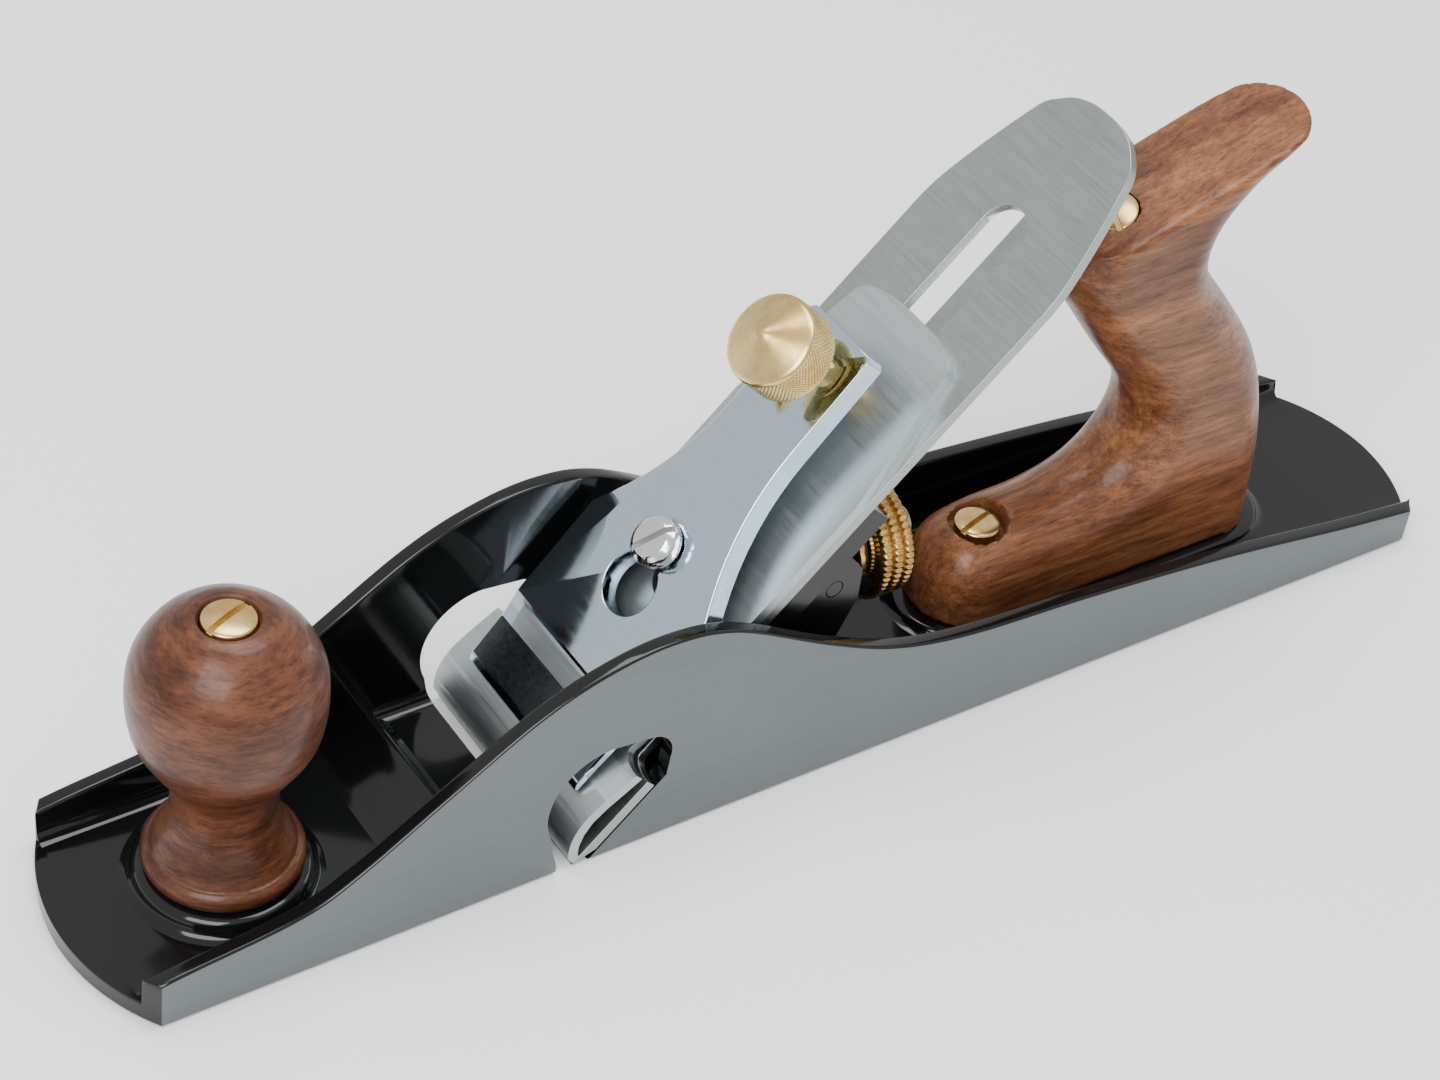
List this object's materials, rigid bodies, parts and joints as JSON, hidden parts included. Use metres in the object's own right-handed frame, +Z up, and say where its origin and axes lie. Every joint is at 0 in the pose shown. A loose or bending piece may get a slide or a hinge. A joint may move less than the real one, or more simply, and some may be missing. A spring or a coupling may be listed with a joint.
{
  "type": "bench rebate plane",
  "caption": "Hand plane with arched open cheeks, a full-width angled iron, a screw-clamped lever cap, wheel and lever adjusters, a wooden knob and a rear handle.",
  "frame": {"origin": "middle of the sole, on the flat that it rests on", "axes": "+X towards the heel, +Z up, so the toe and the knob are at -X"},
  "size_m": [0.33, 0.054, 0.127],
  "materials": {
    "casting": "black japanned inside, ground grey on sole and cheeks",
    "rosewood": "polished brown hardwood",
    "brass": "turned and knurled brass",
    "steel": "machined steel",
    "iron_steel": "satin ground tool steel",
    "lever_cap_steel": "polished face",
    "chrome": "bright chrome",
    "black_casting": "gloss black enamel"
  },
  "bodies": {
    "root": {"body": "casting", "knob": "rosewood", "knob_stud": "steel", "knob_nut": "brass", "tote": "rosewood", "tote_rod": "steel", "tote_nut": "brass", "tote_toe_screw": "brass", "frog_screws": "steel", "frog_screw_washers": "steel"},
    "frog": {"frog": "black_casting", "frog_adjusting_plate": "steel", "frog_plate_screw": "steel", "depth_stud": "steel", "yoke_pin": "steel", "lever_cap_screw": "chrome", "lateral_lever_rivet": "steel"},
    "frog_screw_turning": {"frog_adjusting_screw": "steel"},
    "depth_hub": {"depth_wheel_hub": "brass"},
    "depth_wheel": {"depth_wheel": "brass"},
    "yoke": {"yoke": "black_casting"},
    "iron_carrier": {"cap_iron_screw": "steel"},
    "iron_set": {"plane_iron": "iron_steel", "cap_iron": "iron_steel"},
    "lateral_lever": {"lateral_lever": "chrome"},
    "roller": {"lateral_roller": "steel"},
    "lever_cap": {"lever_cap": "lever_cap_steel"},
    "thumb_stud": {"thumbscrew_stud": "brass"},
    "thumb_head": {"thumbscrew": "brass"}
  },
  "joints": [
    {"name": "frog_adjust_turn", "type": "hinge", "parent": "frog", "child": "frog_screw_turning", "pos_m": [0, 0, 0.0086], "axis": [1, 0, 0], "range_deg": [-675, 90]},
    {"name": "frog_slide", "type": "slide", "parent": "root", "child": "frog", "axis": [1, 0, 0], "range_m": [-0.0015, 0.0002]},
    {"name": "depth_wheel_turn", "type": "hinge", "parent": "depth_hub", "child": "depth_wheel", "pos_m": [0.01715, 0, 0.034], "axis": [1, 0, 0], "range_deg": [-128.81, 257.62]},
    {"name": "depth_hub_travel", "type": "slide", "parent": "frog", "child": "depth_hub", "axis": [1, 0, 0], "range_m": [-0.00076, 0.00038]},
    {"name": "yoke_swing", "type": "hinge", "parent": "frog", "child": "yoke", "pos_m": [-0.004, 0, 0.042], "axis": [0, 1, 0], "range_deg": [-2.72, 5.43]},
    {"name": "iron_feed", "type": "slide", "parent": "frog", "child": "iron_carrier", "axis": [0.7071, 0, 0.7071], "range_m": [-0.0008, 0.0016]},
    {"name": "lateral_lever_swing", "type": "hinge", "parent": "frog", "child": "lateral_lever", "pos_m": [-0.00092, 0, 0.05975], "axis": [-0.7071, 0, 0.7071], "range_deg": [-3, 3]},
    {"name": "iron_skew", "type": "hinge", "parent": "iron_carrier", "child": "iron_set", "pos_m": [0.01216, 0, 0.07566], "axis": [-0.7071, 0, 0.7071], "range_deg": [-0.95, 0.95]},
    {"name": "lateral_roller_spin", "type": "hinge", "parent": "lateral_lever", "child": "roller", "pos_m": [-0.00905, 0, 0.05445], "axis": [-0.7071, 0, 0.7071], "continuous": true},
    {"name": "lever_cap_slide", "type": "slide", "parent": "frog", "child": "lever_cap", "axis": [0.7071, 0, 0.7071], "range_m": [0, 0.01]},
    {"name": "thumbscrew_turn", "type": "hinge", "parent": "thumb_stud", "child": "thumb_head", "pos_m": [-0.01096, 0, 0.09185], "axis": [-0.7071, 0, 0.7071], "range_deg": [0, 1080]},
    {"name": "thumbscrew_travel", "type": "slide", "parent": "lever_cap", "child": "thumb_stud", "axis": [-0.7071, 0, 0.7071], "range_m": [0, 0.00375]}
  ],
  "couplings": [
    {"joint": "frog_adjust_turn", "follows": "frog_slide", "rad_per_m": 7854},
    {"joint": "depth_wheel_turn", "follows": "iron_feed", "rad_per_m": 2810.2},
    {"joint": "depth_hub_travel", "follows": "iron_feed", "ratio": -0.47409},
    {"joint": "yoke_swing", "follows": "iron_feed", "rad_per_m": 59.261},
    {"joint": "iron_skew", "follows": "lateral_lever_swing", "ratio": 0.31667},
    {"joint": "thumbscrew_turn", "follows": "thumbscrew_travel", "rad_per_m": 5026.5}
  ]
}
